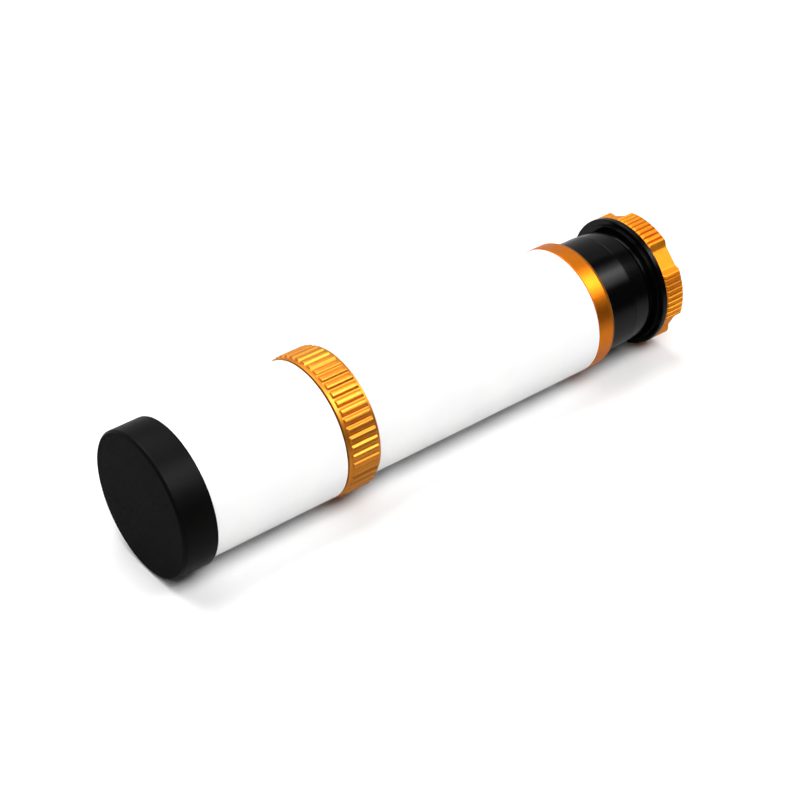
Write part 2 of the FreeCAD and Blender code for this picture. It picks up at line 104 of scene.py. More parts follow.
def angles_between(breaks, step):
    """Angles that include every break and are no further apart than a step."""
    slack = 1e-6
    breaks = sorted(breaks)
    angles = []
    for number, start in enumerate(breaks):
        end = breaks[number + 1] if number + 1 < len(breaks) else breaks[0] + 2 * math.pi
        parts = max(1, math.ceil((end - start) / step - slack))
        angles += [start + (end - start) * part / parts for part in range(parts)]
    return angles


def ring_point(x, radius, angle):
    """A point round the optical axis; the angle is the elevation on the -Y side."""
    return (x, -radius * math.cos(angle), AXIS_Z + radius * math.sin(angle))


def rounded(outline, radius, steps=4):
    """A closed outline of (x, r) points with each corner off the axis turned into an arc."""
    nearly_straight = math.radians(86)
    longest_share = 0.4
    result = []
    count = len(outline)
    for number, corner in enumerate(outline):
        here = Vector(corner)
        before = Vector(outline[number - 1]) - here
        after = Vector(outline[(number + 1) % count]) - here
        half_turn = before.angle(after) / 2
        if here.y == 0 or half_turn > nearly_straight:
            result.append(tuple(here))
            continue
        longest = longest_share * min(before.length, after.length)
        tangent = min(radius / math.tan(half_turn), longest)
        middle = (before.normalized() + after.normalized()).normalized()
        centre = here + middle * (tangent / math.cos(half_turn))
        first = here + before.normalized() * tangent - centre
        last = here + after.normalized() * tangent - centre
        sweep = first.angle(last)
        for step in range(steps + 1):
            share = step / steps
            arm = first * math.sin((1 - share) * sweep) + last * math.sin(share * sweep)
            result.append(tuple(centre + arm / math.sin(sweep)))
    return result


def run(start, end, parts):
    """Points along a straight stretch of an outline, without its end."""
    along, across = end[0] - start[0], end[1] - start[1]
    return [
        (start[0] + along * part / parts, start[1] + across * part / parts)
        for part in range(parts)
    ]


def finish_mesh(name, work):
    """An object in the scene from a bmesh, with its faces turned outwards."""
    bmesh.ops.recalc_face_normals(work, faces=work.faces)
    mesh = bpy.data.meshes.new(name)
    work.to_mesh(mesh)
    work.free()
    piece = bpy.data.objects.new(name, mesh)
    bpy.context.scene.collection.objects.link(piece)
    return piece


def turn(name, outline, angles, shape=None, material_of=None):
    """A piece turned about the optical axis.

    shape(x, r, angle) may change the radius, and material_of(first, second) gives the
    material's number for the faces between two points of the outline.
    """
    work = bmesh.new()
    rows = []
    for x, radius in outline:
        if radius < ON_AXIS:
            rows.append([work.verts.new((x, 0, AXIS_Z))])
            continue
        row = []
        for angle in angles:
            here = shape(x, radius, angle) if shape else radius
            row.append(work.verts.new(ring_point(x, here, angle)))
        rows.append(row)
    count = len(angles)
    for number, row in enumerate(rows):
        after = (number + 1) % len(rows)
        following = rows[after]
        if len(row) == 1 and len(following) == 1:
            continue
        slot = material_of(outline[number], outline[after]) if material_of else 0
        for step in range(count):
            ahead = (step + 1) % count
            corners = [row[step % len(row)], row[ahead % len(row)]]
            corners += [following[ahead % len(following)], following[step % len(following)]]
            face = work.faces.new(list(dict.fromkeys(corners)))
            face.material_index = slot
            face.smooth = True
    piece = finish_mesh(name, work)
    piece.data.set_sharp_from_angle(angle=SHARP_ANGLE)
    return piece


def weigh_normals(piece):
    """Keeps wide faces flat beside their small rounded edges."""
    modifier = piece.modifiers.new("even_normals", "WEIGHTED_NORMAL")
    modifier.keep_sharp = True
    modifier.weight = 80


def thread_ridge(name, front, rear, crest):
    """A right-hand thread: one ridge wound round the axis, with its ends run out."""
    pitch = THREAD_PITCH
    root = crest - THREAD_DEPTH
    per_turn = 96
    foot_share, crest_share = 0.44, 0.08
    run_out_turns = 0.5
    end_height = 0.02
    sink = 0.08 * MM
    steps = int((rear - front - pitch) / pitch * per_turn)
    work = bmesh.new()
    sections = []
    for step in range(steps + 1):
        angle = 2 * math.pi * step / per_turn
        x = front + pitch / 2 + pitch * step / per_turn
        from_end = min(step, steps - step)
        fade = min(1.0, from_end / (per_turn * run_out_turns) + end_height)
        top = root + (crest - root) * fade
        corners = [
            (x - pitch * foot_share, root - sink),
            (x - pitch * crest_share, top),
            (x + pitch * crest_share, top),
            (x + pitch * foot_share, root - sink),
        ]
        points = [ring_point(along, radius, -angle) for along, radius in corners]
        sections.append([work.verts.new(point) for point in points])
    for first, second in zip(sections, sections[1:]):
        for side in range(4):
            ahead = (side + 1) % 4
            work.faces.new([first[side], first[ahead], second[ahead], second[side]])
    work.faces.new(sections[0])
    work.faces.new(sections[-1])
    return finish_mesh(name, work)


def place(piece, node, materials):
    """Gives a new piece its materials and its body, and hides the CAD node that it stands for.
    """
    for material in materials:
        piece.data.materials.append(material)
    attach(piece, BODY_OF_NODE[node])
    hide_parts(node)
    return piece


def turned_piece(name, node, materials, outline, angles=None, shape=None, material_of=None):
    """A turned piece with even normals, in place of a CAD node."""
    piece = turn(name, outline, angles or even_angles(ROUND_SEGMENTS), shape, material_of)
    weigh_normals(piece)
    return place(piece, node, materials)


# ---- material helpers -----------------------------------------------------------------

class Nodes:
    """Short calls for building a node tree."""

    def __init__(self, tree):
        self.nodes = tree.nodes
        self.links = tree.links

    def fill(self, socket, value):
        """Links a socket to an output, or gives it a number or a colour."""
        if isinstance(value, bpy.types.NodeSocket):
            self.links.new(value, socket)
        else:
            socket.default_value = value

    def add(self, kind, sockets=None, **settings):
        """A new shader node with its properties and its sockets filled."""
        node = self.nodes.new("ShaderNode" + kind)
        for name, value in settings.items():
            setattr(node, name, value)
        for name, value in (sockets or {}).items():
            self.fill(node.inputs[name], value)
        return node

    def math(self, operation, first, second=0.0):
        return self.add("Math", {0: first, 1: second}, operation=operation).outputs[0]

    def remap(self, value, low, high, to_low, to_high, **settings):
        """Maps the range from low to high to another one, and never goes past its ends."""
        sockets = {
            "Value": value,
            "From Min": low,
            "From Max": high,
            "To Min": to_low,
            "To Max": to_high,
        }
        return self.add("MapRange", sockets, **settings).outputs["Result"]

    def ramp(self, value, levels):
        """Grey levels between (position, level) stops."""
        node = self.add("ValToRGB", {"Fac": value})
        stops = node.color_ramp.elements
        while len(stops) > 1:
            stops.remove(stops[-1])
        for number, (position, level) in enumerate(levels):
            stop = stops[0] if number == 0 else stops.new(position)
            stop.position = position
            stop.color = (level, level, level, 1)
        return node.outputs["Color"]


class Surface(Nodes):
    """A Principled material with short calls for its procedural parts."""

    def __init__(self, name, colour, metallic, roughness, specular=0.5):
        self.material = bpy.data.materials.new(name)
        self.material.use_nodes = True
        self.material.diffuse_color = (*colour, 1)
        super().__init__(self.material.node_tree)
        self.shader = self.nodes["Principled BSDF"]
        self.put("Base Color", (*colour, 1))
        self.put("Metallic", metallic)
        self.put("Roughness", roughness)
        self.put("Specular IOR Level", specular)
        self.place = self.add("TexCoord").outputs["Object"]

    def put(self, name, value):
        """Fills one of the shader's own sockets."""
        self.fill(self.shader.inputs[name], value)

    def grain(self, scale, detail=2.0):
        """Even three-dimensional noise."""
        sockets = {"Vector": self.place, "Scale": scale, "Detail": detail}
        return self.add("TexNoise", sockets).outputs["Fac"]

    def turning(self, lines_per_metre):
        """Noise that changes only along the lathe tool's path, on cylinders and faces alike."""
        face_pitch = 1.37
        split = self.add("SeparateXYZ", {0: self.place})
        height = self.math("SUBTRACT", split.outputs["Z"], AXIS_Z)
        up = self.math("MULTIPLY", height, height)
        across = self.math("MULTIPLY", split.outputs["Y"], split.outputs["Y"])
        radius = self.math("SQRT", self.math("ADD", up, across))
        path = self.math("ADD", split.outputs["X"], self.math("MULTIPLY", radius, face_pitch))
        sockets = {"W": path, "Scale": lines_per_metre, "Detail": 3.0}
        return self.add("TexNoise", sockets, noise_dimensions="1D").outputs["Fac"]

    def spread(self, noise, low, high):
        """Maps the middle of a noise's range to a range of its own."""
        return self.remap(noise, 0.3, 0.7, low, high)

    def tint(self, scale, first, second):
        """A base colour that drifts between two colours."""
        share = self.spread(self.grain(scale), 0, 1)
        sockets = {"Factor": share, "A": (*first, 1), "B": (*second, 1)}
        self.put("Base Color", self.add("Mix", sockets, data_type="RGBA").outputs["Result"])

    def rough(self, noise, low, high):
        """A roughness that follows a noise."""
        self.put("Roughness", self.spread(noise, low, high))

    def bump(self, height, distance):
        sockets = {"Height": height, "Distance": distance}
        self.put("Normal", self.add("Bump", sockets).outputs["Normal"])


# ---- materials ------------------------------------------------------------------------

def white_paint():
    paint = Surface("white_paint", (0.86, 0.86, 0.86), metallic=0.0, roughness=0.3)
    paint.tint(60, (0.795, 0.795, 0.798), (0.82, 0.818, 0.815))
    paint.rough(paint.grain(90), 0.30, 0.36)
    return paint.material


def gold_anodised(name, middle, roughness):
    colour_drift = 0.05
    gold = Surface(name, middle, metallic=1.0, roughness=roughness)
    darker = [channel * (1 - colour_drift) for channel in middle]
    lighter = [min(1.0, channel * (1 + colour_drift)) for channel in middle]
    gold.tint(900, darker, lighter)
    blast = gold.grain(5200)
    lines = gold.turning(5200)
    mixed = gold.math("MULTIPLY", gold.math("ADD", blast, lines), 0.5)
    gold.rough(mixed, roughness - 0.04, roughness + 0.04)
    gold.bump(gold.math("ADD", blast, gold.math("MULTIPLY", lines, 0.55)), 0.010 * MM)
    return gold.material


def black_anodised(name, specular, roughness):
    black = Surface(name, (0.0012, 0.0012, 0.0013), 0.0, roughness, specular)
    black.tint(400, (0.0009, 0.0009, 0.001), (0.0016, 0.0015, 0.0017))
    lines = black.turning(4200)
    black.rough(lines, roughness - 0.03, roughness + 0.04)
    speck = black.grain(6000, 1.0)
    black.bump(black.math("ADD", lines, black.math("MULTIPLY", speck, 0.4)), 0.0016 * MM)
    return black.material


def flat_black():
    black = Surface("flat_black", (0.008, 0.008, 0.008), 0.0, roughness=0.75, specular=0.25)
    black.rough(black.grain(1200), 0.7, 0.85)
    black.bump(black.turning(2200), 0.01 * MM)
    return black.material


def cap_plastic(name, specular, roughness):
    plastic = Surface(name, (0.002, 0.002, 0.002), 0.0, roughness, specular)
    plastic.tint(90, (0.0017, 0.0017, 0.0017), (0.0024, 0.0024, 0.0023))
    plastic.rough(plastic.grain(700), roughness - 0.04, roughness + 0.04)
    plastic.bump(plastic.grain(4200, 3.0), 0.012 * MM)
    return plastic.material


def coated_glass():
    glass = Surface("coated_glass", (0.93, 0.98, 0.95), metallic=0.0, roughness=0.02)
    glass.put("Transmission Weight", 1.0)
    glass.put("IOR", 1.52)
    glass.put("Coat Weight", 0.6)
    glass.put("Coat Roughness", 0.02)
    glass.put("Coat Tint", (0.55, 0.85, 0.62, 1))
    glass.rough(glass.grain(30), 0.012, 0.03)
    return glass.material


def turned_brass():
    brass = Surface("turned_brass", (0.78, 0.56, 0.22), metallic=1.0, roughness=0.28)
    brass.tint(500, (0.74, 0.52, 0.19), (0.82, 0.61, 0.27))
    lines = brass.turning(3600)
    brass.rough(lines, 0.22, 0.36)
    brass.bump(lines, 0.008 * MM)
    return brass.material


def natural_nylon():
    nylon = Surface("natural_nylon", (0.80, 0.79, 0.74), metallic=0.0, roughness=0.5)
    nylon.put("Subsurface Weight", 0.1)
    nylon.tint(300, (0.78, 0.77, 0.71), (0.83, 0.82, 0.78))
    nylon.rough(nylon.grain(1500), 0.42, 0.58)
    nylon.bump(nylon.turning(2500), 0.008 * MM)
    return nylon.material


def bright_foil():
    foil = Surface("bright_foil", (0.75, 0.75, 0.76), metallic=1.0, roughness=0.25)
    foil.rough(foil.grain(1800), 0.18, 0.34)
    foil.bump(foil.grain(2600), 0.006 * MM)
    return foil.material


PAINT = white_paint()
GOLD = gold_anodised("gold_anodised", (0.90, 0.245, 0.012), 0.36)
GOLD_RIBBED = gold_anodised("gold_anodised_ribbed", (0.78, 0.285, 0.033), 0.40)
GOLD_MATT = gold_anodised("gold_anodised_matt", (0.90, 0.32, 0.02), 0.50)
# A darker copy of the gold for painted shade: the bottoms of the knurl grooves and the end
# ring's rear taper.
GOLD_PAINTED_SHADE = gold_anodised("gold_anodised_painted_shade", (0.42, 0.15, 0.02), 0.60)
BLACK_GLOSS = black_anodised("black_anodised", specular=0.15, roughness=0.13)
BLACK_SATIN = black_anodised("black_anodised_satin", specular=0.15, roughness=0.14)
FLAT_BLACK = flat_black()
CAP = cap_plastic("cap_plastic", specular=0.055, roughness=0.38)
CAP_FACE = cap_plastic("cap_plastic_grained", specular=0.03, roughness=0.55)
GLASS = coated_glass()
BRASS = turned_brass()
NYLON = natural_nylon()
FOIL = bright_foil()


# ---- front section --------------------------------------------------------------------

def make_cap():
    """A push-on cap. Its flat face is grained, and its side is smoother."""
    front, rear, radius = span("dust_cap")
    bore = span("dew_shield")[2] + 0.06 * MM
    inside = front + 2.3 * MM
    bevel = 1.05 * MM
    bevel_rounding = 0.9 * MM
    outline = [
        (front, 0),
        (front, radius - bevel),
        (front + bevel, radius),
        (rear, radius),
        (rear, bore),
        (inside, bore),
        (inside, 0),
    ]

    def side(first, second):
        return 1 if max(first[0], second[0]) < front + 0.1 * bevel else 0

    turned_piece("cap_shell", "dust_cap", [CAP, CAP_FACE],
                 rounded(outline, bevel_rounding, 5), material_of=side)


def make_painted_tube(name, node, wall, rear_gap=0.0):
    """White outside, blackened inside. A gap leaves a dark line before the next piece."""
    front, rear, radius = span(node)
    rear -= rear_gap
    inner = radius - wall
    outline = [
        (front, inner),
        (front, radius),
        (rear, radius),
        (rear, inner),
    ]
    paint_limit = radius - wall * 0.5

    def side(first, second):
        return 0 if max(first[1], second[1]) > paint_limit else 1

    turned_piece(name, node, [PAINT, FLAT_BLACK],
                 rounded(outline, SOFT_EDGE), material_of=side)


# ---- lock ring and focus thread -------------------------------------------------------

RIB_COUNT = 48
RIB_PHASE = math.radians(4.8)
RIB_CREST_SHARE = 0.20
RIB_FOOT_SHARE = 0.45
RIB_CREST_DROP = 0.08
RIB_EASE = 0.2
STEPS_PER_RIB = 22


def rib_height(angle):
    """1 on the middle of a rib's gently rounded crest, 0 in the groove beside it."""
    turns = (angle - RIB_PHASE) * RIB_COUNT / (2 * math.pi)
    off_centre = abs(turns - round(turns))
    crest = RIB_CREST_DROP * min(1.0, off_centre / RIB_CREST_SHARE) ** 2
    share = (off_centre - RIB_CREST_SHARE) / (RIB_FOOT_SHARE - RIB_CREST_SHARE)
    share = min(1.0, max(0.0, share))
    from_end = min(share, 1 - share)
    if from_end < RIB_EASE:
        fall = from_end ** 2 / (2 * RIB_EASE * (1 - RIB_EASE))
    else:
        fall = (from_end - RIB_EASE / 2) / (1 - RIB_EASE)
    if share > 0.5:
        fall = 1 - fall
    return (1 - crest) * (1 - fall)


def make_lock_ring():
    """Two plain rims with a band of ribs between them, which slope away at both ends."""
    front, rear, crest = span("focus_lock_ring")
    bore = 28.75 * MM
    front_rim = 32.0 * MM
    rear_rim = 31.75 * MM
    groove = 31.9 * MM
    ribs_front = front + 1.7 * MM
    ribs_rear = rear - 1.2 * MM
    slope = 0.5 * MM
    edge = 0.25 * MM
    rim_step = 0.05 * MM
    outline = [(front, bore), (front, front_rim - edge), (front + edge, front_rim)]
    outline += [(ribs_front - rim_step, front_rim)]
    outline += run((ribs_front, groove), (ribs_front + slope, crest), 5)
    outline += run((ribs_front + slope, crest), (ribs_rear - slope, crest), 6)
    outline += run((ribs_rear - slope, crest), (ribs_rear, groove), 5)
    outline += [(ribs_rear, groove), (ribs_rear + rim_step, rear_rim)]
    outline += [(rear - edge, rear_rim), (rear, rear_rim - edge), (rear, bore)]

    def ribbed(x, radius, angle):
        if radius <= groove or not ribs_front <= x <= ribs_rear:
            return radius
        return groove + (radius - groove) * rib_height(angle)

    turned_piece("lock_ring_ribbed", "focus_lock_ring", [GOLD_RIBBED],
                 rounded(outline, FINE_EDGE, 3), even_angles(RIB_COUNT * STEPS_PER_RIB),
                 ribbed)


def make_focus_sleeve():
    front, rear, crest = span("focus_sleeve")
    thread_rear = TUBE_FRONT - JOINT_GAP
    root = crest - THREAD_DEPTH
    outline = [
        (front, LIGHT_PATH_RADIUS),
        (front, root),
        (thread_rear, root),
        (thread_rear, SPIGOT_RADIUS),
        (rear, SPIGOT_RADIUS),
        (rear, LIGHT_PATH_RADIUS),
    ]
    turned_piece("sleeve_core", "focus_sleeve", [BLACK_SATIN],
                 rounded(outline, FINE_EDGE))
    ridge = thread_ridge("sleeve_thread", front, thread_rear, crest)
    place(ridge, "focus_sleeve", [BLACK_SATIN])


# ---- rear ring, barrel and holder -----------------------------------------------------

def make_end_ring():
    """The gold ring behind the tube, with a taper a little past the CAD's rear edge that is
    painted dark as a painted shade line.
    """
    front, cad_rear, radius = span("rear_end_ring")
    rear = cad_rear + 0.8 * MM
    shoulder = TUBE_REAR + JOINT_GAP
    front_edge = 0.15 * MM
    taper_length = 1.6 * MM
    taper_depth = 0.7 * MM
    outline = [
        (front, LIGHT_PATH_RADIUS),
        (front, SPIGOT_RADIUS),
        (shoulder, SPIGOT_RADIUS),
        (shoulder, radius - front_edge),
        (shoulder + front_edge, radius),
        (rear - taper_length, radius),
        (rear, radius - taper_depth),
        (rear, LIGHT_PATH_RADIUS),
    ]
    taper_front = rear - taper_length + 0.02 * MM
    taper_foot = radius - taper_depth - FINE_EDGE

    # The taper's faces take the darker gold: a painted shade along the ring's rear edge.
    def side(first, second):
        behind = min(first[0], second[0]) > taper_front
        outside = min(first[1], second[1]) > taper_foot
        return 1 if behind and outside else 0

    turned_piece("end_ring_gold", "rear_end_ring", [GOLD, GOLD_PAINTED_SHADE],
                 rounded(outline, FINE_EDGE), material_of=side)


def make_barrel():
    front, rear, radius = span("rear_barrel")
    shoulder = span("rear_end_ring")[1] + JOINT_GAP
    bore = 24.5 * MM
    spigot = LIGHT_PATH_RADIUS - JOINT_GAP
    outline = [
        (front, bore),
        (front, spigot),
        (shoulder, spigot),
        (shoulder, radius),
        (rear, radius),
        (rear, bore),
    ]
    turned_piece("barrel_black", "rear_barrel", [BLACK_GLOSS],
                 rounded(outline, FINE_EDGE))


def make_extension():
    """The short ring behind the barrel, which narrows a little to the rear."""
    front, rear, radius = span("extension_ring")
    shoulder = span("rear_barrel")[1] + 0.15 * MM
    bore = 23.0 * MM
    spigot = 24.47 * MM
    thread = 24.63 * MM
    web_rear = shoulder + 1.2 * MM
    taper = 0.45 * MM
    outline = [
        (front, bore),
        (front, spigot),
        (shoulder, spigot),
        (shoulder, radius),
        (rear, radius - taper),
        (rear, thread),
        (web_rear, thread),
        (web_rear, bore),
    ]
    turned_piece("extension_black", "extension_ring", [BLACK_SATIN],
                 rounded(outline, SOFT_EDGE))


def make_holder():
    """The threaded neck, a step, the wide flange and the spigot that carries the clamp ring."""
    front, rear, flange = span("eyepiece_holder")
    flange_rear = span("clamp_ring")[0] - 0.14 * MM
    flange_front = flange_rear - 2.8 * MM
    flange_edge = 0.4 * MM
    step_front = flange_front - 1.16 * MM
    step = 28.2 * MM
    neck_front = span("extension_ring")[1] - 7.2 * MM
    neck = 24.6 * MM
    root = neck - THREAD_DEPTH
    pilot = 22.9 * MM
    spigot = 20.9 * MM
    bore = 15.92 * MM
    seat_front = flange_rear + 1.04 * MM
    seat_small, seat_wide = 16.9 * MM, 18.5 * MM
    outline = [
        (front, bore),
        (front, pilot),
        (neck_front, pilot),
        (neck_front, root),
        (step_front, root),
        (step_front, step),
        (flange_front, step),
        (flange_front, flange - flange_edge),
        (flange_front + flange_edge, flange),
        (flange_rear - flange_edge, flange),
        (flange_rear, flange - flange_edge),
        (flange_rear, spigot),
        (rear, spigot),
        (rear, seat_wide),
        (seat_front, seat_small),
        (seat_front, bore),
    ]
    turned_piece("holder_flanged", "eyepiece_holder", [BLACK_GLOSS],
                 rounded(outline, FINE_EDGE))
    ridge = thread_ridge("holder_thread", neck_front, step_front, neck)
    place(ridge, "eyepiece_holder", [BLACK_GLOSS])


# ---- clamp ring -----------------------------------------------------------------------

LOBE_COUNT = 5
LOBE_PHASE = math.radians(8.5)
LOBE_RADIUS = 30.95 * MM
LOBE_CORNER = 0.45 * MM
VALLEY_FLOOR = 28.25 * MM
VALLEY_HALF = 4.85 * MM
VALLEY_CORNER = 0.4 * MM
VALLEY_REACH = math.radians(25)
FLANK_SPREAD = 1.8
LEAST_SLANT = 0.1
KNURLS_PER_LOBE = 8
KNURL_PITCH = math.radians(5.3)
KNURL_HALF = math.radians(1.4)
KNURL_DEPTH = 1.0 * MM
# Where a knurl's cut passes this share of its depth, its groove takes the painted shade.
KNURL_SHADE = 0.35
WIDEST_STEP = math.radians(0.38)


def lobe_offset(angle):
    """The angle from the middle of the nearest lobe."""
    pitch = 2 * math.pi / LOBE_COUNT
    turns = (angle - LOBE_PHASE) / pitch
    return (turns - round(turns)) * pitch


def blend(lower, upper, width):
    """The smaller of two radii, with the corner between them eased over a width."""
    near = max(0.0, width - abs(lower - upper)) / width
    return min(lower, upper) - near * near * width / 4


def lobe_radius(offset):
    """Radius of the lobed outline, at an angle from the middle of the nearest lobe."""
    from_valley = math.pi / LOBE_COUNT - abs(offset)
    floor = VALLEY_FLOOR / math.cos(from_valley)
    reach = VALLEY_FLOOR * FLANK_SPREAD - VALLEY_HALF
    slant = FLANK_SPREAD * math.cos(from_valley) - math.sin(from_valley)
    flank = reach / slant if slant > LEAST_SLANT else 2 * LOBE_RADIUS
    valley = flank
    if from_valley < VALLEY_REACH:
        valley = -blend(-floor, -flank, VALLEY_CORNER)
    return blend(LOBE_RADIUS, valley, LOBE_CORNER)


def knurl_cut(offset):
    """0 between the knurls and 1 at the bottom of one, at an angle from a lobe's middle."""
    steps = abs(offset) / KNURL_PITCH - 0.5
    nearest = round(steps)
    if nearest >= KNURLS_PER_LOBE / 2:
        return 0.0
    from_knurl = abs(steps - nearest) * KNURL_PITCH / KNURL_HALF
    return 0.5 + 0.5 * math.cos(math.pi * min(1.0, from_knurl))


def paint_knurl_shade(piece, outer_limit):
    """Paints shade into the bottoms of the knurl grooves: they take the second, darker material.
    """
    end_face = 0.5
    for face in piece.data.polygons:
        across, up = -face.center.y, face.center.z - AXIS_Z
        in_groove = knurl_cut(lobe_offset(math.atan2(up, across))) > KNURL_SHADE
        on_side = math.hypot(across, up) > outer_limit and abs(face.normal.x) < end_face
        if in_groove and on_side:
            face.material_index = 1


def make_clamp_ring():
    """The twist-lock ring: lobes with knurls on them, and flat valleys between the lobes."""
    front, rear, _ = span("clamp_ring")
    thread = 20.95 * MM
    mouth = 16.1 * MM
    lip_front = rear - 2.2 * MM
    flare = 0.5 * MM
    front_chamfer = 0.85 * MM
    rear_chamfer = 0.8 * MM
    side_front = (front + front_chamfer, LOBE_RADIUS)
    side_rear = (rear - rear_chamfer, LOBE_RADIUS)
    face_edge = (rear, LOBE_RADIUS - rear_chamfer)
    outline = [(front, thread)]
    outline += run((front, LOBE_RADIUS - front_chamfer), side_front, 7)
    outline += run(side_front, side_rear, 6)
    outline += run(side_rear, face_edge, 5)
    outline += [
        face_edge,
        (rear, mouth + flare),
        (rear - flare, mouth),
        (lip_front, mouth),
        (lip_front, thread),
    ]
    outer_limit = LOBE_RADIUS - front_chamfer - 0.01 * MM

    def lobed(x, radius, angle):
        if radius < outer_limit:
            return radius
        offset = lobe_offset(angle)
        from_face = max(0.0, min(x - front, rear - x))
        valley_edge = max(0.0, SOFT_EDGE - from_face)
        ridge = LOBE_RADIUS - KNURL_DEPTH * knurl_cut(offset)
        return min(radius, ridge, lobe_radius(offset) - valley_edge)

    breaks = []
    for lobe in range(LOBE_COUNT):
        middle = LOBE_PHASE + 2 * math.pi * lobe / LOBE_COUNT
        for knurl in range(KNURLS_PER_LOBE):
            centre = middle + (knurl - (KNURLS_PER_LOBE - 1) / 2) * KNURL_PITCH
            breaks += [centre - KNURL_HALF, centre, centre + KNURL_HALF]
    angles = angles_between(breaks, WIDEST_STEP)
    piece = turned_piece("clamp_ring_lobed", "clamp_ring",
                         [GOLD_MATT, GOLD_PAINTED_SHADE], rounded(outline, FINE_EDGE, 3), angles, lobed)
    # The bottoms of the knurl grooves get painted shade.
    paint_knurl_shade(piece, outer_limit)


# ---- glass ----------------------------------------------------------------------------

# Each lens's front and rear face: where its rim is behind the cell's front, its radius of
# curvature, and -1 where it bulges to the front or 1 where it bulges to the rear.
LENSES = [
    ("crown_glass", "crown_element", (4.8 * MM, 120 * MM, -1), (8.0 * MM, 90 * MM, 1)),
    ("flint_glass", "flint_element", (8.5 * MM, 91 * MM, 1), (13.92 * MM, 300 * MM, 1)),
]


def arc_points(rim_x, rim_radius, curve, side, steps=14):
    """Points of a lens face from the axis to the rim."""
    centre = rim_x - side * math.sqrt(curve ** 2 - rim_radius ** 2)
    points = []
    for step in range(steps + 1):
        radius = rim_radius * step / steps
        points.append((centre + side * math.sqrt(curve ** 2 - radius ** 2), radius))
    return points


def make_lenses():
    cell_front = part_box("objective_cell")[0].x
    rim = span("crown_element")[2]
    for name, node, front_face, rear_face in LENSES:
        front, rear = (
            arc_points(cell_front + rim_depth, rim, curve, side)
            for rim_depth, curve, side in (front_face, rear_face)
        )
        piece = turn(name, front + rear[::-1], even_angles(LENS_SEGMENTS))
        place(piece, node, [GLASS])


# ---- CAD nodes that keep their own shape ----------------------------------------------

def dress_cad_nodes():
    finishes = {
        "objective_cell": BLACK_SATIN,
        "lens_retaining_ring": BLACK_SATIN,
        "lens_cushion": NYLON,
        "lens_spacer": FOIL,
        "front_baffle": FLAT_BLACK,
        "rear_baffle": FLAT_BLACK,
        "collet": BRASS,
        "thrust_washer": NYLON,
    }
    for node, material in finishes.items():
        mesh = NODES[node].data
        mesh.materials.clear()
        mesh.materials.append(material)


# ---- stage, lights and camera ---------------------------------------------------------

WHITE = (1, 1, 1, 1)
FLOOR_SIZE = 2.0
FLOOR_SHADE = 0.82
# In reflections the floor is darker, and goes from one shade to another between two places in Y.
DIM_FLOOR_Y = (-0.25, -0.04)
DIM_FLOOR_SHADE = (0.05, 0.40)
# The camera sees the floor fade to plain white between these distances from its middle.
FADE_DISTANCE = (0.40, 0.70)


def floor_material():
    floor = Surface("floor_white", (FLOOR_SHADE,) * 3, 0.0, roughness=0.6, specular=0.0)
    split = floor.add("SeparateXYZ", {0: floor.place})
    path = floor.add("LightPath")
    dim = floor.remap(split.outputs["Y"], *DIM_FLOOR_Y, *DIM_FLOOR_SHADE,
                      interpolation_type="SMOOTHSTEP")
    sockets = {"Factor": path.outputs["Is Glossy Ray"], "A": FLOOR_SHADE, "B": dim}
    floor.put("Base Color", floor.add("Mix", sockets).outputs["Result"])
    distance = floor.add("VectorMath", {0: floor.place}, operation="LENGTH").outputs["Value"]
    far = floor.remap(distance, *FADE_DISTANCE, 0, 1, interpolation_type="SMOOTHSTEP")
    fade = floor.math("MULTIPLY", far, path.outputs["Is Camera Ray"])
    backdrop = floor.add("Emission", {"Color": WHITE})
    sockets = {0: fade, 1: floor.shader.outputs[0], 2: backdrop.outputs[0]}
    join = floor.add("MixShader", sockets)
    floor.fill(floor.nodes["Material Output"].inputs["Surface"], join.outputs[0])
    return floor.material


def make_floor():
    """A wide pale floor that touches the lock ring and the holder's flange from below."""
    ring_low, ring_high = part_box("focus_lock_ring")
    flange_x = span("clamp_ring")[0] - 1.5 * MM
    flange_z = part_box("eyepiece_holder")[0].z
    ring_x = (ring_low.x + ring_high.x) / 2
    slope = math.atan2(flange_z - ring_low.z, flange_x - ring_x)
    bpy.ops.mesh.primitive_plane_add(size=FLOOR_SIZE)
    floor = bpy.context.object
    floor.name = "floor"
    floor.rotation_euler = (0, -slope, 0)
    floor.location = (0, 0, ring_low.z - math.tan(slope) * ring_x)
    floor.data.materials.append(floor_material())


# An area lamp of this many watts a square metre has a radiance of 1.
WATTS_PER_RADIANCE = 3.15


def make_softbox(name, away, distance, size, radiance, centre_x=0.0):
    """A rectangular light that shines on the tube. Its length runs along X."""
    lamp = bpy.data.lights.new(name, "AREA")
    lamp.shape = "RECTANGLE"
    lamp.size, lamp.size_y = size
    lamp.energy = radiance * WATTS_PER_RADIANCE * size[0] * size[1]
    light = bpy.data.objects.new(name, lamp)
    bpy.context.scene.collection.objects.link(light)
    along = (Vector((1, 0, 0)) - away * away.x).normalized()
    facing = Matrix((along, away.cross(along), away)).transposed().to_4x4()
    centre = Vector((centre_x, 0, AXIS_Z)) + away * distance
    light.matrix_world = Matrix.Translation(centre) @ facing
    return light


# The ends of the long softboxes along X.
SOFTBOX_ENDS = (-0.9, 1.16)
# The diffuse key and the softbox stand at different distances, because they must not lie in
# one plane.
KEY_DISTANCE = 1.2
KEY_DIFFUSE_DISTANCE = 1.1
KEY_DIFFUSE_SPAN = (48, 72)
KEY_DIFFUSE_RADIANCE = 6.0
# Brightness of the key softbox, by elevation in degrees above the -Y side.
KEY_FALL = [
    (33, 0.02),
    (38, 0.8),
    (43, 2.9),
    (53, 5.2),
    (59, 7.4),
    (65, 7.6),
    (73, 3.3),
    (83, 0.8),
    (88, 0.05),
]
# Its brightness along X: full to nine tenths of its length, then down to nothing.
KEY_ALONG = [(0, 1), (0.9, 1), (1, 0)]


